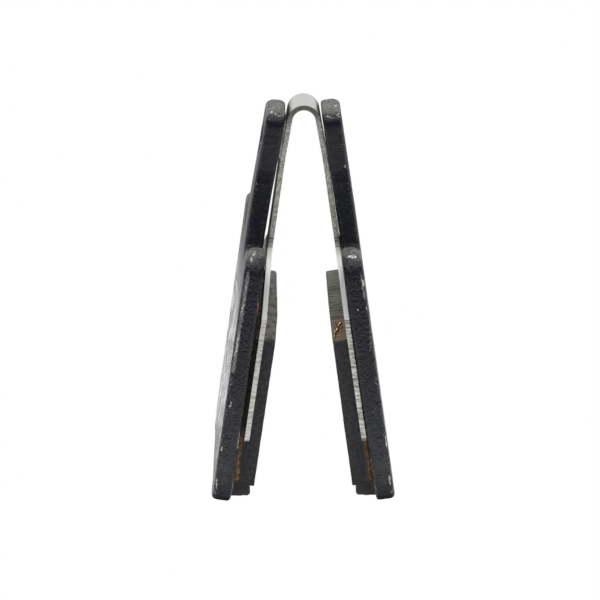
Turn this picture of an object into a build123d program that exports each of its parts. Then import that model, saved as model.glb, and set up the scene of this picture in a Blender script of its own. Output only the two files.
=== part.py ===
"""A used pair of bicycle disc brake pads on their leaf return spring, standing on the plates' lower edges.

Millimetres, +Z up. X runs across the pair, from the left pad to the right one, and Y along the width of a pad.
The origin is on the floor, midway between the pads. A height "along the plate" is measured up a leaning plate
from the edge that it stands on, and any other height from the floor.
"""

import os
from math import acos, atan, atan2, cos, hypot, radians, sin, tan

from build123d import *

# Stance of the pair
LEAN = 8.09  # each plate leans inwards at the top, degrees from upright
TOP_HALF_GAP = 1.74  # inner face of a plate, continued to the height of the ear, from the middle of the pair

# Backing plate, with heights along the plate
PLATE_T = 1.8
PLATE_W = 24.0
FOOT_R = 3.7  # lower corners
HORN_TOP = 24.35  # top of the horns, which are the upper corners
HORN_W = 3.5  # level top of a horn, in from the side of the plate
HORN_R = 2.0  # outer corner of a horn
HORN_INNER_R = 1.2
VALLEY_DEPTH = 2.3  # valley between a horn and the ear, below the top of the horn
VALLEY_W = 2.4  # level floor of the valley, out from the ear
VALLEY_R = 1.5  # where the flank of a horn runs out into the valley
EAR_ROOT_R = 1.3  # where the valley turns up into the ear
EAR_ROOT_W = 6.2
EAR_PINCH_W = 5.6  # narrowest part of the ear, from where it widens again to its top
EAR_PINCH_DROP = 5.6  # narrowest part, below the top of the ear
EAR_PINCH_R = 0.6
EAR_TOP_W = 7.0
EAR_TOP_R = 1.3
EAR_TOP = 35.4
EAR_BEND_RISE = 3.0  # where the ear is bent in, above the valley
EAR_BEND_R = 60.0
LEFT_EAR_BEND = 1.95  # degrees
RIGHT_EAR_BEND = 0.23
PIN_HOLE_D = 3.2
PIN_DROP = 3.15  # centre of the hole for the retaining pin, below the top of the ear
ROLLOVER_R = 0.5  # edges of the outer face, drawn down by the punch
DEBURR = 0.2  # bevelled edges of the inner face

# Lip folded inwards at the foot of a plate, under the friction block
LIP_INSET = 4.1  # end of the lip, in from the side of the plate
LIP_REACH = 1.85  # inwards from the inner face
LIP_T = 1.4
LIP_TILT = 8.6  # folded this many degrees past square
LIP_END_R = 0.35  # lower corner of the free end
LIP_ROOT_R = 0.2  # upper corner of the free end, and where the lip leaves the plate
FOLD_R = 1.2  # outside of the fold

# Friction block, with heights along the plate
FRICTION_T = 2.01  # at the foot
LEFT_T_TOP = 2.04
RIGHT_T_TOP = 1.86  # worn to a slight wedge
FRICTION_TOP_H = 19.05
FRICTION_TOP_W = 5.0  # level top between the sloping shoulders
FRICTION_SHOULDER = 2.95  # drop of the shoulders from the top to the sides
FRICTION_FOOT_R = 0.25
FRICTION_SIDE_R = 0.8
FRICTION_TOP_R = 4.0
LIP_CLEAR = 0.25  # between the lip and the friction block
LEFT_BEVEL_T = 0.33  # worn off the top of the left face, more than off the right one
LEFT_BEVEL_H = 1.6
RIGHT_BEVEL_T = 0.1
RIGHT_BEVEL_H = 1.0

# Return spring
SPRING_T = 0.45
LEG_GAP = 0.235  # between an arm's foot and the inner face of its plate, with the spring in the middle
KNEE_GAP = 0.22  # the same at the knee, where the arm is nearest to the ear
SPRING_SHIFT = 0.17  # the spring sits this far towards the right pad
SPRING_PROUD = 0.57  # top of the bend above the inner edges of the ears
BEND_R = 1.05  # inside of the top bend
KNEE_DROP = 5.0  # where an arm turns down along its plate, below the top of the bend
KNEE_R = 3.0
NECK_W = 4.9
FLARE_NECK_RISE = 2.85  # upper edge of a flare at the neck, above its lower edge
FLARE_LEG_RISE = 2.0  # the same at the leg
FLARE_NECK_R = 0.35
FLARE_LEG_R = 0.3
CROTCH_R = 2.0
LEG_W = 1.7
LEG_INSET = 0.4  # outer side of a leg, in from the side of the plate
LEG_FOOT_H = 6.7
LEG_FOOT_R = 0.6
LEG_ROOT_R = 0.8
PIN_CLEAR = 0.4  # hole in an arm, wider than the hole in the plate
SIDE_CLEAR = 0.3  # between a leg and the side of the friction block
ROOF_CLEAR = 0.6  # between a flare and the shoulder of the friction block

LEFT = -1
RIGHT = 1
FACE_TILT = 8.0  # the flat faces of a plate and of its bent ear lie within this many degrees of each other
lean = radians(LEAN)
lip_tilt = radians(LIP_TILT)
face_on = cos(radians(FACE_TILT))
foot_half_gap = TOP_HALF_GAP + EAR_TOP * sin(lean)
pin_h = EAR_TOP - PIN_DROP
leg_side = PLATE_W / 2 - LEG_INSET
leg_inner = leg_side - LEG_W
friction_side = leg_inner - SIDE_CLEAR
shoulder_h = FRICTION_TOP_H - FRICTION_SHOULDER


def outwards(side):
    """Direction square to a plate, away from the middle of the pair."""
    return Vector(side * cos(lean), 0, sin(lean))


def plate_plane(side):
    """Inner face of a plate: x along its width, y up the plate, z outwards."""
    return Plane(origin=(side * foot_half_gap, 0, 0), x_dir=(0, side, 0), z_dir=outwards(side))


def section_plane(side):
    """Section across a plate at the middle of its width: x outwards, y up the plate."""
    return Plane(origin=(side * foot_half_gap, 0, 0), x_dir=outwards(side), z_dir=(0, -side, 0))


def rise(along_plate, inwards):
    """Height above the floor of a point that is this far up a plate, and in from its inner face."""
    return along_plate * cos(lean) - inwards * sin(lean)


def rim(faces):
    """Edges around faces that run on into each other."""
    edges = ShapeList(edge for face in faces for edge in face.edges())
    return ShapeList(edge for edge in edges if sum(edge.is_same(other) for other in edges) == 1)


def backing_plate(side, name, ear_bend):
    """Stamped plate with an ear for the pin, and a lip folded under the friction block."""
    horn_end = PLATE_W / 2 - HORN_W
    valley_h = HORN_TOP - VALLEY_DEPTH
    lip_side = PLATE_W / 2 - LIP_INSET
    fold_top = LIP_T / cos(lip_tilt) + FOLD_R
    bend_h = valley_h + EAR_BEND_RISE
    ear_end = EAR_TOP + PLATE_T
    with BuildPart() as plate:
        with BuildSketch(section_plane(side)):
            with BuildLine():
                FilletPolyline(
                    (PLATE_T / 2, -PLATE_T),
                    (PLATE_T / 2, bend_h),
                    (PLATE_T / 2 - (ear_end - bend_h) * tan(radians(ear_bend)), ear_end),
                    radius=EAR_BEND_R,
                )
            trace(line_width=PLATE_T)
        extrude(amount=PLATE_W, both=True)
        with BuildSketch(plate_plane(side)):
            with BuildLine():
                FilletPolyline(
                    (0, 0),
                    (PLATE_W / 2, 0),
                    (PLATE_W / 2, HORN_TOP),
                    (horn_end, HORN_TOP),
                    (EAR_ROOT_W / 2 + VALLEY_W, valley_h),
                    (EAR_ROOT_W / 2, valley_h),
                    (EAR_PINCH_W / 2, EAR_TOP - EAR_PINCH_DROP),
                    (EAR_TOP_W / 2, EAR_TOP),
                    (0, EAR_TOP),
                    radius=[
                        FOOT_R,
                        HORN_R,
                        HORN_INNER_R,
                        VALLEY_R,
                        EAR_ROOT_R,
                        EAR_PINCH_R,
                        EAR_TOP_R,
                    ],
                )
                mirror(about=Plane.YZ)
            make_face()
        extrude(amount=2 * PLATE_T, both=True, mode=Mode.INTERSECT)
        outer_faces = plate.faces().filter_by(lambda face: face.normal_at().dot(outwards(side)) > face_on)
        fillet(rim(outer_faces), ROLLOVER_R)
        inner_faces = plate.faces().filter_by(lambda face: face.normal_at().dot(outwards(side)) < -face_on)
        chamfer(rim(inner_faces), DEBURR)
        with BuildSketch(plate_plane(side)):
            with Locations((0, pin_h)):
                Circle(PIN_HOLE_D / 2)
        extrude(amount=2 * PLATE_T, both=True, mode=Mode.SUBTRACT)
        # The foot is cut back across the width of the lip, and the fold takes its place
        with BuildSketch(section_plane(side)):
            Rectangle(PLATE_T, fold_top, align=(Align.MIN, Align.MIN))
        extrude(amount=lip_side, both=True, mode=Mode.SUBTRACT)
        with BuildSketch(section_plane(side)):
            with BuildLine():
                lip_end = Vector(-LIP_REACH, LIP_REACH * tan(lip_tilt))
                FilletPolyline(
                    (PLATE_T, fold_top),
                    (PLATE_T, 0),
                    (0, 0),
                    lip_end,
                    lip_end + Vector(sin(lip_tilt), cos(lip_tilt)) * LIP_T,
                    (0, LIP_T / cos(lip_tilt)),
                    (0, fold_top),
                    radius=[FOLD_R, FOLD_R, LIP_END_R, LIP_ROOT_R, LIP_ROOT_R],
                )
                Line((0, fold_top), (PLATE_T, fold_top))
            make_face()
        extrude(amount=lip_side, both=True)
    plate.part.label = name
    export_step(plate.part, f"parts/{name}.step")


def friction_block(side, name, top_t, bevel_t, bevel_h):
    """Friction material bonded to the inner face of a plate, worn to a wedge with a bevel at the top."""
    foot = LIP_REACH * tan(lip_tilt) + LIP_T * cos(lip_tilt) + LIP_CLEAR
    bevel_foot = FRICTION_TOP_H - bevel_h
    bevel_foot_t = FRICTION_T + (top_t - FRICTION_T) * (bevel_foot - foot) / (FRICTION_TOP_H - foot)
    with BuildPart() as block:
        with BuildSketch(section_plane(side)):
            with BuildLine():
                Polyline(
                    (0, foot),
                    (-FRICTION_T, foot),
                    (-bevel_foot_t, bevel_foot),
                    (bevel_t - top_t, FRICTION_TOP_H),
                    (0, FRICTION_TOP_H),
                    close=True,
                )
            make_face()
        extrude(amount=friction_side, both=True)
        with BuildSketch(plate_plane(side)):
            with BuildLine():
                FilletPolyline(
                    (0, foot),
                    (friction_side, foot),
                    (friction_side, shoulder_h),
                    (FRICTION_TOP_W / 2, FRICTION_TOP_H),
                    (0, FRICTION_TOP_H),
                    radius=[FRICTION_FOOT_R, FRICTION_SIDE_R, FRICTION_TOP_R],
                )
                mirror(about=Plane.YZ)
            make_face()
        extrude(amount=-max(FRICTION_T, top_t), mode=Mode.INTERSECT)
    block.part.label = name
    export_step(block.part, f"parts/{name}.step")


def return_spring(name):
    """Leaf bent to a U, each arm a neck that widens into two legs beside the friction block."""
    leg_depth = LEG_GAP + SPRING_T / 2
    mid_r = BEND_R + SPRING_T / 2

    def arm_point(height, gap):
        """Point of the right arm, midway through its thickness, at this gap from the plate."""
        return Vector(foot_half_gap - height * tan(lean) - (gap + SPRING_T / 2) / cos(lean), height)

    # From the knee, an arm runs on at a tangent to the bend
    spring_top = rise(EAR_TOP, 0) + SPRING_PROUD
    bend_h = spring_top - SPRING_T - BEND_R
    knee_h = spring_top - KNEE_DROP
    knee = arm_point(knee_h, KNEE_GAP)
    to_bend = hypot(knee.X, bend_h - knee_h)
    splay = acos(mid_r / to_bend) - atan2(bend_h - knee_h, knee.X)
    bend_start = Vector(mid_r * cos(splay), bend_h + mid_r * sin(splay))

    # The lower edge follows the friction block's outline at a distance
    slope = atan(FRICTION_SHOULDER / (friction_side - FRICTION_TOP_W / 2))
    roof_h = rise(FRICTION_TOP_H + ROOF_CLEAR, leg_depth)
    roof_x = FRICTION_TOP_W / 2 + ROOF_CLEAR * tan(slope / 2)
    leg_root = rise(shoulder_h + ROOF_CLEAR / cos(slope) - SIDE_CLEAR * tan(slope), leg_depth)
    neck_foot = roof_h + FLARE_NECK_RISE

    across = Plane(origin=(SPRING_SHIFT, 0, 0), x_dir=(1, 0, 0), z_dir=(0, -1, 0))
    with BuildPart() as spring:
        with BuildSketch(across):
            with BuildLine():
                FilletPolyline(
                    arm_point(0, LEG_GAP),
                    knee,
                    bend_start,
                    radius=KNEE_R,
                )
                mirror(about=Plane.YZ)
                ThreePointArc(bend_start, (0, bend_h + mid_r), (-bend_start.X, bend_start.Y))
            trace(line_width=SPRING_T)
        extrude(amount=leg_side, both=True)
        with BuildSketch(Plane.YZ):
            with BuildLine():
                FilletPolyline(
                    (0, spring_top),
                    (NECK_W / 2, spring_top),
                    (NECK_W / 2, neck_foot),
                    (leg_side, leg_root + FLARE_LEG_RISE),
                    (leg_side, LEG_FOOT_H),
                    (leg_inner, LEG_FOOT_H),
                    (leg_inner, leg_root),
                    (roof_x, roof_h),
                    (0, roof_h),
                    radius=[
                        0,
                        FLARE_NECK_R,
                        FLARE_LEG_R,
                        LEG_FOOT_R,
                        LEG_FOOT_R,
                        LEG_ROOT_R,
                        CROTCH_R,
                    ],
                )
                mirror(about=Plane.YZ)
            make_face()
            with Locations((0, rise(pin_h, leg_depth))):
                Circle((PIN_HOLE_D + PIN_CLEAR) / 2, mode=Mode.SUBTRACT)
        extrude(amount=foot_half_gap, both=True, mode=Mode.INTERSECT)
    spring.part.label = name
    export_step(spring.part, f"parts/{name}.step")


os.makedirs("parts", exist_ok=True)
backing_plate(LEFT, "left_backing_plate", LEFT_EAR_BEND)
backing_plate(RIGHT, "right_backing_plate", RIGHT_EAR_BEND)
friction_block(LEFT, "left_friction_block", LEFT_T_TOP, LEFT_BEVEL_T, LEFT_BEVEL_H)
friction_block(RIGHT, "right_friction_block", RIGHT_T_TOP, RIGHT_BEVEL_T, RIGHT_BEVEL_H)
return_spring("return_spring")
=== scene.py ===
from math import cos, hypot, radians, sin, sqrt, tan
from random import Random

import bmesh
import bpy
from mathutils import Matrix, Vector, noise


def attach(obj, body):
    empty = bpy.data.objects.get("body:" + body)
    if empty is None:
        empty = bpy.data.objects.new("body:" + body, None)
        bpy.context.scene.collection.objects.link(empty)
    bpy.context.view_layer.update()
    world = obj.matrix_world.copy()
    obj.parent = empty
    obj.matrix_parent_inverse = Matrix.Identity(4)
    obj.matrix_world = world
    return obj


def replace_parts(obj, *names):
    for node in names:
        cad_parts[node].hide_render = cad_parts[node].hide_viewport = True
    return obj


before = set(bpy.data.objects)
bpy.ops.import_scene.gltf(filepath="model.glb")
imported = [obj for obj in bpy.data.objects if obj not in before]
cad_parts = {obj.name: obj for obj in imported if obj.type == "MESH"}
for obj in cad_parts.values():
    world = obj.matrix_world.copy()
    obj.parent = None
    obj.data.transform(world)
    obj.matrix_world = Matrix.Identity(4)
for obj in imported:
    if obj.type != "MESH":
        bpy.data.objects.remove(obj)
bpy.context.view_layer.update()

MM = 0.001
LEFT = -1
RIGHT = 1
WORDS = {LEFT: "left", RIGHT: "right"}
WHITE = (1, 1, 1, 1)

# Camera, matched to the photograph
CAMERA_AZIMUTH = radians(-0.843)
CAMERA_ELEVATION = radians(17.9)
CAMERA_DISTANCE = 226.2 * MM
CAMERA_TARGET = Vector((-0.155, 0, 16.46)) * MM
CAMERA_LENS = 145.55
CAMERA_CLIP = 10 * MM
SENSOR_WIDTH = 36

# Plates and blocks in the CAD frame, millimetres and angles
LEAN = radians(8.09)
FOOT_HALF_GAP = 6.72
PLATE_T = 1.8
HALF_WIDTH = 12.0
HORN_TOP = 24.35
EAR_TOP = 35.4
EAR_HALF_W = 4.0
EAR_BEND_H = 25.05
EAR_BEND = {LEFT: radians(1.95), RIGHT: radians(0.23)}
PISTON_H = 10.5
BLOCK_SIDE = -9.6
AXLE_DROP = 65.0

# Skins over plates and blocks: mesh size, and radius of the worn tips (outer face, inner face)
PLATE_VOXEL = 0.16
BLOCK_VOXEL = 0.15
HORN_TIP = (1.0, 0.3)
EAR_TIP = {LEFT: (0.65, 0.45), RIGHT: (0.6, 0.2)}
TIP_MIDDLE = 0.7
ROUND_SHARE = 0.99

# Relief cut into the skins, millimetres, and how fine its noise is
SKIN_RELIEF = 0.012
PLATE_FINENESS = (0.9, 1.9)
BLOCK_FINENESS = (1.3, 2.6)
SCORE_FINENESS = 1.6
CHIP_DENT = 0.05
CHIP_REACH = 1.5
CHIP_INSET = 2.0
EAR_CHIP_H = HORN_TOP + 8.0

# Marks on the blocks' shoulders: stretch of their noise in the material, its fineness and depth in the mesh
MARK_STRETCH = {LEFT: (1.6, 1.8, 1.6), RIGHT: (0.6, 5.0, 2.0)}
MARK_FINENESS = (0.4, 2.2)
MARK_DEPTH = {LEFT: 0.005, RIGHT: 0.02}

# Crumbs, and those of rust where a block's near side meets its plate: start, spread and skew of a draw
CRUMB_LUMPS = 0.35
CRUMB_FINENESS = 1.7
CRUMB_SHIFT = 9
RUST_CRUMBS = {LEFT: 130, RIGHT: 60}
RUST_SEED = {LEFT: 3, RIGHT: 8}
RUST_OUT = (-0.02, -0.28, 2)
RUST_ALONG = (2.1, 4.4, 1.4)
RUST_WIDE = (BLOCK_SIDE, -0.03, 1)
RUST_SIZE = (0.018, 0.04, 3)
RUST_SHAPE = (1.0, 0.7, 1.2)

# Studio light by direction
FRONT_LIGHT = 0.1
BACK_LIGHT = 0.95
BACK_RISE = (-0.2, 0.5)
TOP_LIGHT = 1.5
TOP_RISE = (0.35, 0.95)

# Floor, and how much it throws back by depth: fading to the front, dim in a strip before the feet and behind
FLOOR_HALF = 2000 * MM
FLOOR_GLOW = 0.5
FLOOR_NEAR = 1.0
FLOOR_FAR = 0.2
FLOOR_FADE = (-110, 0)
STRIP_FRONT = (-15.0, -13.0)
STRIP_BACK = (-8, -11)
STRIP_SHADE = 0.4
FLOOR_BACK = (45, 100)
BACK_SHADE = 0.5

# Contact shade under the plates' feet, with each edge from light to dark
FOOT_INNER = (6.0, 6.8)
FOOT_OUTER = (9.6, 8.7)
FOOT_SIDE = (11.5, 9.8)
FOOT_SHADE = 0.12

# Colours of the paint, of what lies on it and of painted light and shade, from dark to pale where there are
# two, and the share of dirt
PAINT = ((0.004, 0.0055, 0.012), (0.018, 0.02, 0.028))
PAINT_PIT_SHADE = (0.002, 0.003, 0.006)
DUST_AND_FLOOR_LIGHT = (0.04, 0.044, 0.054)
# Upturned tops of the horns and ears: rubbed paint and painted light from above
RUBBED_AND_TOP_LIT = ((0.012, 0.012, 0.011), (0.17, 0.17, 0.153))
SCUFF_GREY = (0.29, 0.285, 0.285)
DIRT = ((0.018, 0.014, 0.011), (0.07, 0.05, 0.03))
DIRT_SHARE = {LEFT: 0.4, RIGHT: 0.35}
# Lip under the friction block, paler: painted light
LIP_PAINTED_LIGHT = (0.06, 0.061, 0.068)
PAINT_STAIN = ((0.12, 0.06, 0.02), (0.5, 0.34, 0.1))
FACE_GREY = (0.08, 0.08, 0.074)
SPECK_GREY = (0.2, 0.2, 0.19)
BARE_METAL = ((0.3, 0.26, 0.2), (0.72, 0.71, 0.68))

# Where a plate's looks change, from none to full: up along it, outwards, and about the piston
# Dust and painted floor light: paler lower down, none at the very foot as painted contact shade
DUST_AND_LIGHT_BELOW = (14.0, 2.0)
DUST_AND_LIGHT_ABOVE = (0.3, 1.3)
CROWN_ABOVE = (21.0, 22.5)
BARE_ABOVE = (25.0, 30.0)
DIRT_BELOW = (22.5, 20.5)
DIRT_ABOVE = (2.5, 4.0)
LIP_BELOW = (2.4, 1.2)
LIP_INSIDE = (0.05, -0.1)
DULL_ABOVE = (15.0, 22.0)
SMOOTHER_ABOVE = (23.0, 27.0)
RING_INNER = (6.7, 7.1)
RING_OUTER = (8.2, 7.8)

# Relief that the paint only shades: orange peel, grain, the step of a chip and dull patches
PEEL_EDGE = 0.12
PEEL_EAR = 0.05
PEEL_FACE = 0.04
PAINT_GRAIN = 0.022
CROWN_GRAIN = 0.07
CHIP_STEP = 0.05
PATCH_RELIEF = 0.12

# Friction blocks: colours, rust, turn of the shoulders and the worn face, the bond and shaded relief
COMPOUND = ((0.026, 0.027, 0.031), (0.066, 0.067, 0.072))
FLECK = (0.35, 0.33, 0.3)
# Upturned shoulders: brown dust and painted light from above
SHOULDER_DUST_AND_LIGHT = ((0.085, 0.078, 0.066), (0.25, 0.238, 0.21))
SCORED = ((0.03, 0.029, 0.028), (0.1, 0.096, 0.09))
BOND_BROWN = ((0.085, 0.056, 0.034), (0.11, 0.082, 0.055))
RUST = ((0.13, 0.085, 0.055), (0.55, 0.35, 0.17))
RUST_GOLD = {LEFT: 0.2, RIGHT: 0.12}
RUST_SOFT = 0.8
COPPER_STAIN = (0.3, 0.2, 0.095)
SHOULDER_TURN = (0.4, 0.75)
WORN_TURN = (-0.9, -0.97)
BOND_REACH = (-0.5, -0.25)
BOND_PALER = (6.0, 7.5)
GRAIN_RELIEF = 0.05
SCORE_RELIEF = 0.02

# Spring: colours, heights where its looks change, dark bands of painted reflection across the neck (height
# and half width) and shaded relief
SHEET = ((0.375, 0.375, 0.365), (0.445, 0.445, 0.43))
# Sides of the neck against the ears: painted shade and reflection
NECK_PAINTED_SHADE = (0.05, 0.044, 0.04)
EDGE_GRIMY = ((0.46, 0.47, 0.41), (0.92, 0.92, 0.85))
BEND_DARKER = (0.16, 0.16, 0.15)
EDGE_SCORED = {LEFT: (0.56, 0.56, 0.51), RIGHT: (0.36, 0.355, 0.32)}
EDGE_CLEAN = (0.87, 0.86, 0.81)
REFLECTED_GREY = (0.1, 0.1, 0.09)
# Upturned sheared edges near white: painted highlight
TOP_EDGE_HIGHLIGHT = (0.93, 0.93, 0.9)
NECK_ABOVE = (20.5, 22.5)
CLEAN_BELOW = (24.0, 22.5)
BEND_ABOVE = (33.6, 35.0)
REFLECTED_BANDS = ((23.2, 0.1), (22.9, 0.07))
ROLLED_RELIEF = 0.008
MOTTLE_RELIEF = 0.05
TORN_RELIEF = 0.03
EDGE_ROUND = 0.05

# Copper turnings, bright and tarnished, and crumbs of rust, dark and golden
COPPER_TONES = ((1.0, 0.7, 0.46), (0.2, 0.06, 0.025))
COPPER_ROUGH = (0.12, 0.5)
CRUMB_TONES = ((0.07, 0.036, 0.02), (0.42, 0.235, 0.105))
CRUMB_RELIEF = 0.02

# Strokes of chipped paint: two ends in a plate's axes (outwards, in from the near side, up), half width
PAINT_CHIPS = {
    LEFT: (
        ((1.05, 1.80, 24.34), (1.10, 1.20, 24.20), 0.13),
        ((1.30, 0.95, 24.05), (1.20, 0.60, 23.80), 0.12),
        ((1.05, 9.70, 35.30), (1.00, 9.40, 35.26), 0.10),
        ((0.68, 9.35, 35.24), (0.60, 9.25, 35.20), 0.09),
        ((0.31, 9.20, 35.14), (0.15, 9.20, 35.15), 0.09),
        ((-0.05, 9.37, 35.25), (-0.12, 9.45, 35.28), 0.08),
        ((1.40, 0.00, 21.35), (1.40, 0.00, 21.65), 0.09),
        ((1.41, 0.00, 20.40), (1.48, 0.03, 19.10), 0.11),
        ((1.47, 0.03, 17.00), (1.55, 0.07, 15.00), 0.12),
        ((1.24, 0.00, 10.70), (1.39, 0.01, 10.10), 0.08),
        ((1.58, 0.10, 6.25), (1.58, 0.10, 5.95), 0.08),
        ((1.60, 0.20, 3.10), (1.50, 0.45, 2.00), 0.09),
        ((0.10, 0.10, 8.00), (0.11, 0.10, 6.30), 0.10),
    ),
    RIGHT: (
        ((0.72, 1.12, 24.15), (1.20, 1.05, 24.08), 0.17),
        ((0.85, 1.75, 24.34), (0.95, 1.65, 24.34), 0.06),
        ((1.20, 1.70, 24.32), (1.25, 1.60, 24.30), 0.06),
        ((0.53, 9.07, 35.03), (0.75, 9.00, 34.95), 0.09),
        ((0.96, 8.95, 34.90), (1.05, 8.95, 34.90), 0.07),
        ((1.44, 9.15, 35.06), (1.50, 9.35, 35.12), 0.09),
        ((1.64, 12.50, 35.20), (1.30, 11.50, 35.36), 0.13),
        ((1.32, 11.40, 35.38), (1.36, 10.50, 35.36), 0.09),
        ((1.66, 0.16, 21.65), (1.66, 0.16, 21.95), 0.15),
        ((1.62, 0.12, 19.40), (1.62, 0.12, 19.60), 0.08),
        ((0.81, 0.00, 19.42), (0.81, 0.00, 19.50), 0.06),
        ((1.70, 0.20, 7.20), (1.70, 0.21, 6.10), 0.10),
        ((1.50, 0.07, 3.40), (1.55, 0.30, 2.40), 0.09),
        ((0.13, 0.46, 2.40), (0.13, 0.46, 1.30), 0.07),
    ),
}

# Strokes of scuffs and rust on the plates, and of rust and copper dust on the friction blocks
SCUFFS = {
    LEFT: (
        ((1.38, 0.00, 23.20), (1.46, 0.02, 18.20), 0.16),
        ((1.46, 0.02, 18.00), (1.50, 0.04, 13.60), 0.16),
    ),
    RIGHT: (((1.50, 0.04, 23.00), (1.55, 0.06, 20.40), 0.10),),
}
PLATE_RUST = {
    LEFT: (
        ((0.08, 0.10, 20.15), (0.04, 0.14, 19.45), 0.10),
        ((0.02, 0.15, 3.40), (0.02, 0.50, 2.05), 0.10),
    ),
    RIGHT: (((0.03, 0.20, 5.20), (0.03, 0.20, 4.00), 0.08),),
}
BLOCK_RUST = {
    LEFT: (
        ((-0.12, 2.40, 6.40), (-0.20, 2.40, 2.40), 0.22),
        ((-0.30, 2.40, 3.60), (-0.36, 2.40, 2.50), 0.16),
    ),
    RIGHT: (((-0.14, 2.40, 6.20), (-0.20, 2.40, 2.30), 0.30),),
}
COPPER_DUST = (((-0.95, 4.55, 17.00), (-1.40, 3.20, 16.43), 0.5),)

# Copper turnings caught on the shoulder of the right block: place, half sizes and turn about Z
COPPER = (
    ((3.38, -7.55, 16.67), (0.18, 0.13, 0.09), 0.5),
    ((3.18, -7.85, 16.55), (0.18, 0.16, 0.11), -0.6),
    ((3.10, -8.30, 16.35), (0.15, 0.30, 0.11), -0.5),
    ((2.92, -8.60, 16.23), (0.11, 0.30, 0.12), -0.35),
    ((2.82, -9.05, 16.04), (0.09, 0.20, 0.09), -0.2),
    ((3.46, -8.10, 16.47), (0.13, 0.12, 0.08), 0.9),
    ((3.36, -8.60, 16.25), (0.10, 0.10, 0.07), 0.2),
    ((2.98, -7.50, 16.67), (0.09, 0.08, 0.06), 0.2),
)

scene = bpy.context.scene


def outwards(side):
    """Direction square to a plate, away from the middle of the pair."""
    return side * cos(LEAN), 0, sin(LEAN)


def up_plate(side):
    """Direction up along a plate."""
    return -side * sin(LEAN), 0, cos(LEAN)


def plate_axes(side):
    """From millimetres in a plate's own axes (outwards, along its width, up) to metres in the CAD frame."""
    columns = (outwards(side), (0, side, 0), up_plate(side))
    turn = Matrix(columns).transposed().to_4x4()
    return Matrix.Scale(MM, 4) @ Matrix.Translation((side * FOOT_HALF_GAP, 0, 0)) @ turn


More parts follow.
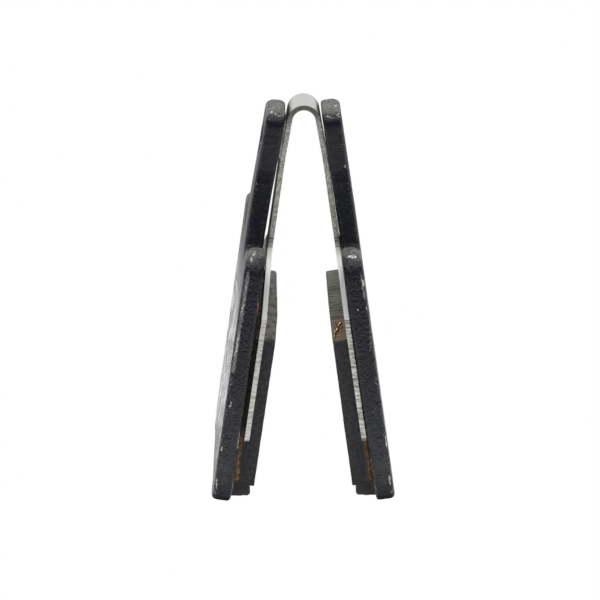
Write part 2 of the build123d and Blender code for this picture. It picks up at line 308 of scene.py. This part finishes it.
class Nodes:
    """Adds shader nodes to a tree. An input is another node's output, or a constant for the socket."""

    def __init__(self, tree):
        self.tree = tree

    def add(self, kind, inputs=(), **settings):
        node = self.tree.nodes.new("ShaderNode" + kind)
        for name, value in settings.items():
            setattr(node, name, value)
        for key, value in dict(inputs).items():
            if isinstance(value, bpy.types.NodeSocket):
                self.tree.links.new(value, node.inputs[key])
            else:
                node.inputs[key].default_value = value
        return node

    def math(self, operation, *values, clamp=False):
        return self.add("Math", enumerate(values), operation=operation, use_clamp=clamp).outputs[0]

    def times(self, first, *others):
        for other in others:
            first = self.math("MULTIPLY", first, other)
        return first

    def plus(self, first, *others):
        for other in others:
            first = self.math("ADD", first, other)
        return first

    def most(self, first, *others):
        for other in others:
            first = self.math("MAXIMUM", first, other)
        return first

    def size(self, value):
        """A value without its sign."""
        return self.math("ABSOLUTE", value)

    def vector(self, operation, first, second):
        node = self.add("VectorMath", {0: first, 1: second}, operation=operation)
        return node.outputs["Value" if operation in ("DOT_PRODUCT", "DISTANCE") else "Vector"]

    def scaled(self, vector, factor):
        return self.add("VectorMath", {0: vector, "Scale": factor}, operation="SCALE").outputs["Vector"]

    def stretch(self, where, *factors):
        return self.vector("MULTIPLY", where, factors)

    def parts(self, vector):
        return self.add("SeparateXYZ", {0: vector}).outputs

    def ease(self, value, low, high):
        """0 at the low end, 1 at the high end and smooth in between; the low end may be the greater."""
        flip = low > high
        inputs = {"Value": value, "From Min": min(low, high), "From Max": max(low, high)}
        inputs.update({"To Min": 1.0 if flip else 0.0, "To Max": 0.0 if flip else 1.0})
        return self.add("MapRange", inputs, interpolation_type="SMOOTHSTEP").outputs["Result"]

    def noise(self, where, scale, detail=2.0, rough=0.5):
        inputs = {"Vector": where, "Scale": scale, "Detail": detail, "Roughness": rough}
        return self.add("TexNoise", inputs).outputs[0]

    def stripes(self, along, scale, detail=2.0):
        """Noise that only changes along one value."""
        inputs = {"W": along, "Scale": scale, "Detail": detail}
        return self.add("TexNoise", inputs, noise_dimensions="1D").outputs[0]

    def specks(self, where, scale, reach, patch_scale, patch_low):
        """Scattered dots that fade out at a reach in cell widths, and lie in patches of noise."""
        distance = self.add("TexVoronoi", {"Vector": where, "Scale": scale}).outputs["Distance"]
        patches = self.ease(self.noise(where, patch_scale), patch_low, 0.6)
        return self.times(self.ease(distance, reach, 0.1), patches)

    def mix(self, share, first, second):
        """Mix of two colours."""
        ends = {6 + k: (*end, 1) if isinstance(end, tuple) else end for k, end in enumerate((first, second))}
        return self.add("Mix", {0: share, **ends}, data_type="RGBA").outputs[2]

    def blend(self, share, first, second):
        """Mix of two values."""
        return self.add("Mix", {0: share, 2: first, 3: second}).outputs[0]

    def place(self):
        """Position in the CAD frame, in millimetres."""
        return self.scaled(self.add("TexCoord").outputs["Object"], 1 / MM)

    def normal(self):
        return self.add("NewGeometry").outputs["Normal"]

    def seen(self):
        """1 where the camera looks straight at it, 0 where it lights or is reflected."""
        return self.add("LightPath").outputs["Is Camera Ray"]

    def ragged(self, where, reach, scale):
        """Position shifted at random, for ragged outlines."""
        inputs = {"Vector": where, "Scale": scale, "Detail": 3.0}
        shift = self.vector("SUBTRACT", self.add("TexNoise", inputs).outputs["Color"], (0.5, 0.5, 0.5))
        return self.vector("ADD", where, self.scaled(shift, reach))

    def strokes(self, where, strokes, soft=0.3):
        """1 within any of the strokes, fading to 0 about their outlines over a share of their half width."""
        share = 0.0
        for start, end, half_width in strokes:
            run = Vector(end) - Vector(start)
            from_start = self.vector("SUBTRACT", where, start)
            ahead = self.vector("DOT_PRODUCT", from_start, run)
            reach = self.math("DIVIDE", ahead, run.length_squared, clamp=True)
            distance = self.vector("DISTANCE", from_start, self.scaled(run, reach))
            within = self.ease(distance, half_width * (1 + soft), half_width * (1 - soft))
            share = self.most(share, within)
        return share

    def surface(self, height, edge_r=None, **inputs):
        """Closes a material with one shader, bent by a height in millimetres; its edges may seem rounded."""
        named = {key.replace("_", " "): value for key, value in inputs.items()}
        bump = {"Height": height, "Distance": MM, "Strength": 1.0}
        if edge_r:
            bump["Normal"] = self.add("Bevel", {"Radius": edge_r * MM}, samples=4).outputs["Normal"]
        named["Normal"] = self.add("Bump", bump).outputs["Normal"]
        shader = self.add("BsdfPrincipled", named)
        self.add("OutputMaterial", {"Surface": shader.outputs[0]})


class PlateNodes(Nodes):
    """Nodes with each point's place in a plate's own axes, in millimetres, and the way that it faces."""

    def __init__(self, tree, side):
        super().__init__(tree)
        place = self.place()
        normal = self.normal()
        self.out = self.plus(self.vector("DOT_PRODUCT", place, outwards(side)), -FOOT_HALF_GAP * cos(LEAN))
        self.inset = self.plus(self.parts(place)["Y"], HALF_WIDTH)
        self.along = self.plus(self.vector("DOT_PRODUCT", place, up_plate(side)), FOOT_HALF_GAP * sin(LEAN))
        self.where = self.add("CombineXYZ", {"X": self.out, "Y": self.inset, "Z": self.along}).outputs[0]
        self.facing = self.vector("DOT_PRODUCT", normal, outwards(side))
        self.upward = self.vector("DOT_PRODUCT", normal, up_plate(side))

    def radius(self, height):
        """Distance from an axis square to the plate, in the middle of its width and at a height along it."""
        return self.vector("DISTANCE", self.stretch(self.where, 0.0, 1.0, 1.0), (0, HALF_WIDTH, height))


def new_material(name, side=None):
    """An empty material and its nodes, in a plate's own axes where a side is given."""
    material = bpy.data.materials.new(name)
    material.use_nodes = True
    material.node_tree.nodes.clear()
    nodes = PlateNodes(material.node_tree, side) if side else Nodes(material.node_tree)
    return material, nodes


def outer_face(nodes, coarse):
    """Patches of the outer face, how dull they are, and how grey with scratches and the piston's ring."""
    patches = nodes.noise(nodes.where, 0.55, 7, 0.72)
    dull = nodes.most(nodes.ease(patches, 0.42, 0.64), nodes.times(nodes.ease(nodes.along, *DULL_ABOVE), 0.7))
    scratches = nodes.noise(nodes.stretch(nodes.ragged(nodes.where, 1.2, 0.25), 1.0, 7.0, 0.5), 1.0, 3, 0.6)
    radius = nodes.radius(PISTON_H)
    ring = nodes.times(nodes.ease(radius, *RING_INNER), nodes.ease(radius, *RING_OUTER))
    ring = nodes.times(ring, nodes.ease(coarse, 0.4, 0.6))
    grey = nodes.most(nodes.times(dull, 0.8), nodes.ease(scratches, 0.6, 0.66), ring)
    return patches, dull, grey


def plate_paint(side):
    """Black semi-gloss paint with orange peel, worn through on the tips and painted paler there as lit from
    above, and chipped along the edges.
    """
    material, nodes = new_material("plate_paint_" + WORDS[side], side)
    where = nodes.where
    along = nodes.along
    facing = nodes.facing
    coarse = nodes.noise(where, 1.3, 5, 0.7)
    fine = nodes.noise(where, 5.5, 4, 0.7)
    peel = nodes.noise(where, 3.6, 3)

    # Paint, and dust with painted light from the floor, paler lower down and gone at the very foot, which is
    # left dark as painted contact shade
    colour = nodes.mix(nodes.ease(coarse, 0.42, 0.75), *PAINT)
    # Pits of the orange peel darker: painted shade
    colour = nodes.mix(nodes.times(nodes.ease(peel, 0.5, 0.34), 0.4), colour, PAINT_PIT_SHADE)
    rough = nodes.blend(coarse, 0.14, 0.3)
    dust_and_light = nodes.times(nodes.ease(along, *DUST_AND_LIGHT_BELOW), nodes.ease(along, *DUST_AND_LIGHT_ABOVE))
    dust_and_light = nodes.times(dust_and_light, nodes.ease(coarse, 0.3, 0.6), 0.7)
    colour = nodes.mix(dust_and_light, colour, DUST_AND_FLOOR_LIGHT)

    # Sheared tops of the horns and the ear, turned upwards: a dull grey, partly rubbed paint and partly
    # painted light from above
    uneven = nodes.plus(nodes.upward, nodes.times(nodes.plus(fine, -0.5), 1.6))
    crown = nodes.times(nodes.ease(uneven, 0.58, 0.78), nodes.ease(nodes.upward, 0.3, 0.55))
    crown = nodes.times(crown, nodes.ease(along, *CROWN_ABOVE))
    rubbed_and_lit = nodes.mix(nodes.ease(nodes.noise(where, 7.0, 3, 0.7), 0.42, 0.6), *RUBBED_AND_TOP_LIT)
    bare = nodes.plus(coarse, nodes.times(nodes.ease(along, *BARE_ABOVE), 0.12))
    colour = nodes.mix(nodes.times(crown, nodes.ease(bare, 0.4, 0.54)), colour, rubbed_and_lit)
    rough = nodes.blend(crown, rough, nodes.blend(fine, 0.4, 0.9))

    # Rolled edges of the outer face, scuffed here and there
    rolled = nodes.times(nodes.ease(facing, 0.1, 0.3), nodes.ease(facing, 0.8, 0.6))
    scuffed = nodes.times(rolled, nodes.ease(nodes.noise(where, 0.5, 5, 0.75), 0.55, 0.66), 0.8)
    scuffed = nodes.most(scuffed, nodes.strokes(nodes.ragged(where, 0.3, 3.5), SCUFFS[side]))
    scuffed = nodes.times(scuffed, nodes.ease(fine, 0.3, 0.5), 0.8)
    colour = nodes.mix(scuffed, colour, SCUFF_GREY)

    # Brown dirt on the inner edges, the lip under the friction block made paler as painted light, and rust
    dirty = nodes.times(nodes.ease(facing, -0.2, -0.5), nodes.ease(coarse, 0.36, 0.56), DIRT_SHARE[side])
    dirty = nodes.times(dirty, nodes.ease(along, *DIRT_BELOW), nodes.ease(along, *DIRT_ABOVE))
    colour = nodes.mix(dirty, colour, nodes.mix(nodes.ease(fine, 0.4, 0.62), *DIRT))
    lip = nodes.times(nodes.ease(along, *LIP_BELOW), nodes.ease(nodes.out, *LIP_INSIDE))
    colour = nodes.mix(nodes.times(lip, 0.9), colour, LIP_PAINTED_LIGHT)
    stained = nodes.strokes(nodes.ragged(where, 0.25, 4.0), PLATE_RUST[side])
    colour = nodes.mix(stained, colour, nodes.mix(nodes.ease(fine, 0.4, 0.6), *PAINT_STAIN))

    # Outer face
    flat = nodes.ease(facing, 0.93, 0.985)
    patches, dull, grey = outer_face(nodes, coarse)
    colour = nodes.mix(nodes.times(flat, grey, 0.5), colour, FACE_GREY)
    rough = nodes.blend(flat, rough, nodes.blend(dull, 0.06, 0.56))

    # Pale specks, and bare metal where the paint has chipped
    colour = nodes.mix(nodes.times(nodes.specks(where, 2.6, 0.17, 0.8, 0.5), 0.5), colour, SPECK_GREY)
    chipped = nodes.strokes(nodes.ragged(where, 0.3, 4.0), PAINT_CHIPS[side])
    nicked = nodes.times(rolled, nodes.ease(nodes.noise(where, 2.3, 4, 0.7), 0.64, 0.67))
    chipped = nodes.times(nodes.most(chipped, nicked), nodes.ease(fine, 0.33, 0.45))
    metal = nodes.mix(nodes.ease(nodes.noise(where, 4.0, 3), 0.35, 0.6), *BARE_METAL)
    colour = nodes.mix(chipped, colour, metal)

    # Relief
    lumpy = nodes.blend(nodes.ease(along, *SMOOTHER_ABOVE), PEEL_EDGE, PEEL_EAR)
    height = nodes.times(peel, nodes.blend(nodes.most(flat, lip), lumpy, PEEL_FACE))
    height = nodes.plus(height, nodes.times(fine, nodes.blend(crown, PAINT_GRAIN, CROWN_GRAIN)))
    height = nodes.plus(height, nodes.times(chipped, -CHIP_STEP), nodes.times(flat, patches, PATCH_RELIEF))
    nodes.surface(height, Base_Color=colour, Roughness=rough, Metallic=nodes.times(chipped, 0.8))
    return material


def friction_compound(side):
    """Charcoal compound with metal flecks, shoulders paler with dust and painted light from above, scores
    from the disc and rust at the bond.
    """
    material, nodes = new_material("friction_" + WORDS[side], side)
    where = nodes.where
    grain = nodes.noise(where, 3.2, 5, 0.65)
    colour = nodes.mix(nodes.ease(grain, 0.3, 0.7), *COMPOUND)

    # Brown dust and painted light from above on the upturned shoulders, blotched on the left and with saw
    # marks on the right
    marks = nodes.noise(nodes.stretch(where, *MARK_STRETCH[side]), 1.0, 4, 0.6)
    dusty_and_lit = nodes.mix(nodes.ease(marks, 0.36, 0.6), *SHOULDER_DUST_AND_LIGHT)
    colour = nodes.mix(nodes.ease(nodes.upward, *SHOULDER_TURN), colour, dusty_and_lit)

    # Scores in arcs about the wheel's axle
    scores = nodes.stripes(nodes.radius(-AXLE_DROP), 3.0, 4)
    worn = nodes.ease(nodes.facing, *WORN_TURN)
    colour = nodes.mix(worn, colour, nodes.mix(nodes.ease(scores, 0.35, 0.65), *SCORED))

    # Brown bond line, with rust low down and copper dust about the turnings
    bond = nodes.times(nodes.ease(nodes.out, *BOND_REACH), nodes.ease(grain, 0.35, 0.5), 0.7)
    colour = nodes.mix(bond, colour, nodes.mix(nodes.ease(nodes.along, *BOND_PALER), *BOND_BROWN))
    rusty = nodes.strokes(nodes.ragged(where, 0.2, 3.0), BLOCK_RUST[side], RUST_SOFT)
    golden = nodes.plus(nodes.noise(where, 6.0, 4, 0.7), nodes.times(rusty, RUST_GOLD[side]))
    colour = nodes.mix(rusty, colour, nodes.mix(nodes.ease(golden, 0.6, 0.78), *RUST))
    if side == RIGHT:
        stained = nodes.strokes(nodes.ragged(where, 0.3, 3.0), COPPER_DUST, RUST_SOFT)
        colour = nodes.mix(nodes.times(stained, 0.85), colour, COPPER_STAIN)

    # Metal flecks
    flecks = nodes.specks(where, 2.4, 0.16, 1.1, 0.55)
    colour = nodes.mix(nodes.times(flecks, 0.6), colour, FLECK)
    height = nodes.plus(nodes.times(grain, GRAIN_RELIEF), nodes.times(scores, worn, SCORE_RELIEF))
    rough = nodes.blend(worn, 0.72, 0.45)
    nodes.surface(height, Base_Color=colour, Roughness=rough, Metallic=nodes.times(flecks, 0.7))
    return material


def spring_steel():
    """Satin rolled strip with rougher, mottled sheared edges."""
    material, nodes = new_material("spring_steel")
    place = nodes.place()
    parts = nodes.parts(place)
    x = parts["X"]
    z = parts["Z"]
    turned = nodes.parts(nodes.normal())
    edge = nodes.ease(nodes.size(turned["Y"]), 0.12, 0.25)
    # Sheared edges turned upwards, near white: painted highlight of the light from above
    top_edge_highlight = nodes.times(edge, nodes.ease(turned["Z"], 0.3, 0.6))
    mottle = nodes.noise(nodes.stretch(place, 5.0, 5.0, 3.5), 1.0, 4, 0.7)

    # Rolled faces, darkened where the neck stands against the ears: painted shade and painted reflection of
    # the black ears
    rolled = nodes.noise(nodes.stretch(place, 4.0, 12.0, 0.6), 1.0, 3)
    sheet = nodes.mix(rolled, *SHEET)
    away = nodes.times(turned["X"], nodes.math("SIGN", x))
    neck_shade = nodes.times(nodes.ease(away, 0.7, 0.93), nodes.ease(z, *NECK_ABOVE))
    neck_shade = nodes.times(neck_shade, nodes.ease(mottle, 0.2, 0.45))
    sheet = nodes.mix(nodes.times(neck_shade, 0.9), sheet, NECK_PAINTED_SHADE)

    # Sheared edges: mottled up the arms, darker at the top bend and torn on the legs, with dark bands of
    # painted reflection across the neck
    grimy = nodes.mix(nodes.ease(mottle, 0.38, 0.62), *EDGE_GRIMY)
    # Darker towards the top of the bend
    grimy = nodes.mix(nodes.times(nodes.ease(z, *BEND_ABOVE), 0.8), grimy, BEND_DARKER)
    torn = nodes.noise(nodes.stretch(place, 1.2, 1.0, 6.0), 1.0, 3, 0.6)
    scored = nodes.mix(nodes.ease(x, -1.0, 1.0), EDGE_SCORED[LEFT], EDGE_SCORED[RIGHT])
    clean = nodes.mix(nodes.ease(torn, 0.36, 0.58), scored, EDGE_CLEAN)
    sheared = nodes.mix(nodes.ease(z, *CLEAN_BELOW), grimy, clean)
    # Dark bands across the neck: painted reflection
    for level, half in REFLECTED_BANDS:
        reflected_band = nodes.ease(nodes.size(nodes.plus(z, -level)), half, half * 0.5)
        sheared = nodes.mix(nodes.times(reflected_band, 0.75), sheared, REFLECTED_GREY)

    colour = nodes.mix(top_edge_highlight, nodes.mix(edge, sheet, sheared), TOP_EDGE_HIGHLIGHT)
    rough = nodes.plus(nodes.blend(edge, 0.22, 0.5), nodes.times(nodes.most(top_edge_highlight, neck_shade), 0.2))
    ragged = nodes.plus(nodes.times(mottle, MOTTLE_RELIEF), nodes.times(torn, TORN_RELIEF))
    height = nodes.blend(edge, nodes.times(rolled, ROLLED_RELIEF), ragged)
    metallic = nodes.blend(top_edge_highlight, 1.0, 0.05)
    nodes.surface(height, EDGE_ROUND, Base_Color=colour, Metallic=metallic, Roughness=rough)
    return material


def copper():
    """Bright turnings, darker where they have tarnished."""
    material, nodes = new_material("copper_turnings")
    where = nodes.place()
    tarnish = nodes.ease(nodes.noise(where, 5.0, 3), 0.5, 0.62)
    colour = nodes.mix(tarnish, *COPPER_TONES)
    rough = nodes.blend(tarnish, *COPPER_ROUGH)
    height = nodes.times(nodes.noise(where, 12.0, 2), CRUMB_RELIEF)
    nodes.surface(height, Base_Color=colour, Metallic=1.0, Roughness=rough)
    return material


def rust_grains(word):
    """Crumbs of dark brown to golden rust."""
    material, nodes = new_material("rust_grains_" + word)
    where = nodes.place()
    colour = nodes.mix(nodes.ease(nodes.noise(where, 5.0, 3, 0.6), 0.4, 0.62), *CRUMB_TONES)
    height = nodes.times(nodes.noise(where, 15.0, 2), CRUMB_RELIEF)
    nodes.surface(height, Base_Color=colour, Roughness=0.75)
    return material


def reach_of(point, start, end):
    """Distance of a point from a stroke."""
    run = end - start
    share = min(max((point - start).dot(run) / run.length_squared, 0.0), 1.0)
    return (point - start - run * share).length


def drawn_in(height, radius):
    """How far a rounded corner has drawn in at this height above its start, up to nearly its radius."""
    height = min(max(height, 0.0), radius * ROUND_SHARE)
    return radius - sqrt(radius ** 2 - height ** 2)


def relief(point, fineness):
    """Depth of uneven relief at a point."""
    return sum(SKIN_RELIEF * (1 + noise.noise(point * scale)) for scale in fineness)


def worn_plate(side):
    """Moves a point of a plate: tips rounded by the punch, uneven paint and dents where it has chipped."""
    strokes = [(Vector(start), Vector(end), half_width) for start, end, half_width in PAINT_CHIPS[side]]

    def move(point, normal):
        out, wide, along = point
        on_ear = abs(wide) < EAR_HALF_W
        top = EAR_TOP if on_ear else HORN_TOP
        outer_r, inner_r = EAR_TIP[side] if on_ear else HORN_TIP
        bend = max(along - EAR_BEND_H, 0.0) * tan(EAR_BEND[side])
        from_middle = out + bend - TIP_MIDDLE
        room = PLATE_T - TIP_MIDDLE if from_middle > 0 else TIP_MIDDLE
        radius = outer_r if from_middle > 0 else inner_r
        keep = 1 - min(drawn_in(along - top + radius, radius) / room, 1.0)
        depth = relief(point, PLATE_FINENESS)
        inset = side * wide + HALF_WIDTH
        if inset < CHIP_INSET or along > EAR_CHIP_H:
            here = Vector((out, inset, along))
            for start, end, half_width in strokes:
                share = reach_of(here, start, end) / (half_width * CHIP_REACH)
                depth += CHIP_DENT * max(1 - share, 0.0)
        return Vector((TIP_MIDDLE - bend + from_middle * keep, wide, along)) - normal * depth

    return move


def worn_block(side):
    """Moves a point of a friction block: coarse grain, marks on the shoulders and scores from the disc."""
    across, lengthwise = MARK_FINENESS

    def move(point, normal):
        out, wide, along = point
        depth = relief(point, BLOCK_FINENESS)
        if normal.z > SHOULDER_TURN[0]:
            depth += MARK_DEPTH[side] * (1 + noise.noise(Vector((out * across, wide * lengthwise, 0.0))))
        if normal.x < WORN_TURN[0]:
            radius = hypot(wide, along + AXLE_DROP)
            depth += SKIN_RELIEF * (1 + noise.noise(Vector((radius * SCORE_FINENESS, 0.0, 0.0))))
        return point - normal * depth

    return move


def coat(mesh, material):
    """Leaves a mesh with this one material."""
    mesh.materials.clear()
    mesh.materials.append(material)


def add_piece(name, mesh, material):
    """Adds a mesh as a piece that rides on the set, with its material."""
    coat(mesh, material)
    piece = bpy.data.objects.new(name, mesh)
    scene.collection.objects.link(piece)
    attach(piece, "root")
    return piece


def add_skin(node_name, name, side, voxel, move, material):
    """Stands a finely meshed copy in for a CAD node, with each of its points moved a little."""
    rough_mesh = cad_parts[node_name].data.copy()
    rough_mesh.transform(plate_axes(side).inverted())
    carrier = bpy.data.objects.new(name + "_carrier", rough_mesh)
    scene.collection.objects.link(carrier)
    remesh = carrier.modifiers.new("remesh", "REMESH")
    remesh.mode = "VOXEL"
    remesh.voxel_size = voxel
    remesh.use_smooth_shade = True
    mesh = bpy.data.meshes.new_from_object(carrier.evaluated_get(bpy.context.evaluated_depsgraph_get()))
    bpy.data.objects.remove(carrier)
    bpy.data.meshes.remove(rough_mesh)
    mesh.name = name
    normals = [Vector(normal.vector) for normal in mesh.vertex_normals]
    for vertex, normal in zip(mesh.vertices, normals):
        vertex.co = move(vertex.co.copy(), normal)
    mesh.transform(plate_axes(side))
    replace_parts(add_piece(name, mesh, material), node_name)


def add_crumbs(name, crumbs, material):
    """Adds lumpy crumbs in one mesh, each given by its place, its half sizes and its turn about Z."""
    shape = bmesh.new()
    for place, sizes, turn in crumbs:
        centre = Vector(place)
        made = bmesh.ops.create_icosphere(shape, subdivisions=2, radius=1.0)
        spin = Matrix.Rotation(turn, 3, "Z")
        for vertex in made["verts"]:
            lump = 1 + CRUMB_LUMPS * noise.noise(vertex.co * CRUMB_FINENESS + centre * CRUMB_SHIFT)
            vertex.co = (centre + spin @ (Vector(sizes) * vertex.co * lump)) * MM
    for face in shape.faces:
        face.smooth = True
    mesh = bpy.data.meshes.new(name)
    shape.to_mesh(mesh)
    shape.free()
    add_piece(name, mesh, material)


def add_rust_crumbs(side):
    """Scatters crumbs where a block's near side meets its plate, thinning out upwards."""
    chance = Random(RUST_SEED[side])

    def skewed(start, spread, skew):
        """Random value, the closer to its start the greater the skew."""
        return start + spread * chance.random() ** skew

    crumbs = []
    for _ in range(RUST_CRUMBS[side]):
        out = skewed(*RUST_OUT)
        along = skewed(*RUST_ALONG)
        wide = side * skewed(*RUST_WIDE)
        centre = plate_axes(side) @ Vector((out, wide, along)) / MM
        size = skewed(*RUST_SIZE)
        crumbs.append((centre, [size * share for share in RUST_SHAPE], chance.random()))
    add_crumbs(WORDS[side] + "_rust_crumbs", crumbs, rust_grains(WORDS[side]))


def floor_paleness(nodes):
    """How much of the light the floor throws back from place to place."""
    place = nodes.parts(nodes.place())
    depth = place["Y"]
    across = nodes.size(place["X"])
    strip = nodes.times(nodes.ease(depth, *STRIP_FRONT), nodes.ease(depth, *STRIP_BACK))
    behind = nodes.ease(depth, *FLOOR_BACK)
    under = nodes.times(nodes.ease(across, *FOOT_INNER), nodes.ease(across, *FOOT_OUTER))
    under = nodes.times(under, nodes.ease(nodes.size(depth), *FOOT_SIDE))
    pale = nodes.blend(nodes.ease(depth, *FLOOR_FADE), FLOOR_FAR, FLOOR_NEAR)
    for share, shade in ((strip, STRIP_SHADE), (behind, BACK_SHADE), (under, FOOT_SHADE)):
        pale = nodes.times(pale, nodes.blend(share, 1.0, shade))
    return pale


def add_floor():
    """Wide pale sheet that glows a little, and is plain white to the camera."""
    mesh = bpy.data.meshes.new("floor")
    corners = [(x * FLOOR_HALF, y * FLOOR_HALF, 0) for x, y in ((-1, -1), (1, -1), (1, 1), (-1, 1))]
    mesh.from_pydata(corners, [], [(0, 1, 2, 3)])
    material, nodes = new_material("floor")
    pale = floor_paleness(nodes)
    sheet = nodes.add("BsdfDiffuse", {"Color": nodes.times(pale, 1 - FLOOR_GLOW)})
    glow = nodes.add("Emission", {"Color": WHITE, "Strength": nodes.times(pale, FLOOR_GLOW)})
    lit = nodes.add("AddShader", {0: sheet.outputs[0], 1: glow.outputs[0]})
    white = nodes.add("Emission", {"Color": WHITE, "Strength": 1.0})
    mixed = nodes.add("MixShader", {0: nodes.seen(), 1: lit.outputs[0], 2: white.outputs[0]})
    nodes.add("OutputMaterial", {"Surface": mixed.outputs[0]})
    coat(mesh, material)
    floor = bpy.data.objects.new("floor", mesh)
    scene.collection.objects.link(floor)


def add_world():
    """Soft tent of light: bright overhead, white behind the set and dim in front of it."""
    world = bpy.data.worlds.new("tent")
    world.use_nodes = True
    world.node_tree.nodes.clear()
    nodes = Nodes(world.node_tree)
    towards = nodes.parts(nodes.add("TexCoord").outputs["Generated"])
    back = nodes.times(nodes.ease(towards["Y"], *BACK_RISE), BACK_LIGHT)
    top = nodes.times(nodes.ease(towards["Z"], *TOP_RISE), TOP_LIGHT)
    strength = nodes.blend(nodes.seen(), nodes.plus(back, top, FRONT_LIGHT), 1.0)
    shader = nodes.add("Background", {"Color": WHITE, "Strength": strength})
    nodes.add("OutputWorld", {"Surface": shader.outputs[0]})
    scene.world = world


def add_camera():
    """Long lens that looks down a little on the near side."""
    level = cos(CAMERA_ELEVATION)
    towards = Vector((sin(CAMERA_AZIMUTH) * level, -cos(CAMERA_AZIMUTH) * level, sin(CAMERA_ELEVATION)))
    data = bpy.data.cameras.new("camera")
    data.lens = CAMERA_LENS
    data.sensor_width = SENSOR_WIDTH
    data.clip_start = CAMERA_CLIP
    camera = bpy.data.objects.new("camera", data)
    camera.location = CAMERA_TARGET + towards * CAMERA_DISTANCE
    camera.rotation_euler = (-towards).to_track_quat("-Z", "Y").to_euler()
    scene.collection.objects.link(camera)
    scene.camera = camera


for side, word in WORDS.items():
    plate = word + "_backing_plate"
    paint = plate_paint(side)
    add_skin(plate, word + "_plate_painted", side, PLATE_VOXEL, worn_plate(side), paint)
    block = word + "_friction_block"
    compound = friction_compound(side)
    add_skin(block, word + "_block_worn", side, BLOCK_VOXEL, worn_block(side), compound)
    add_rust_crumbs(side)
add_crumbs("copper_turnings", COPPER, copper())
coat(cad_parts["return_spring"].data, spring_steel())
add_floor()
add_world()
add_camera()
scene.view_settings.view_transform = "Standard"
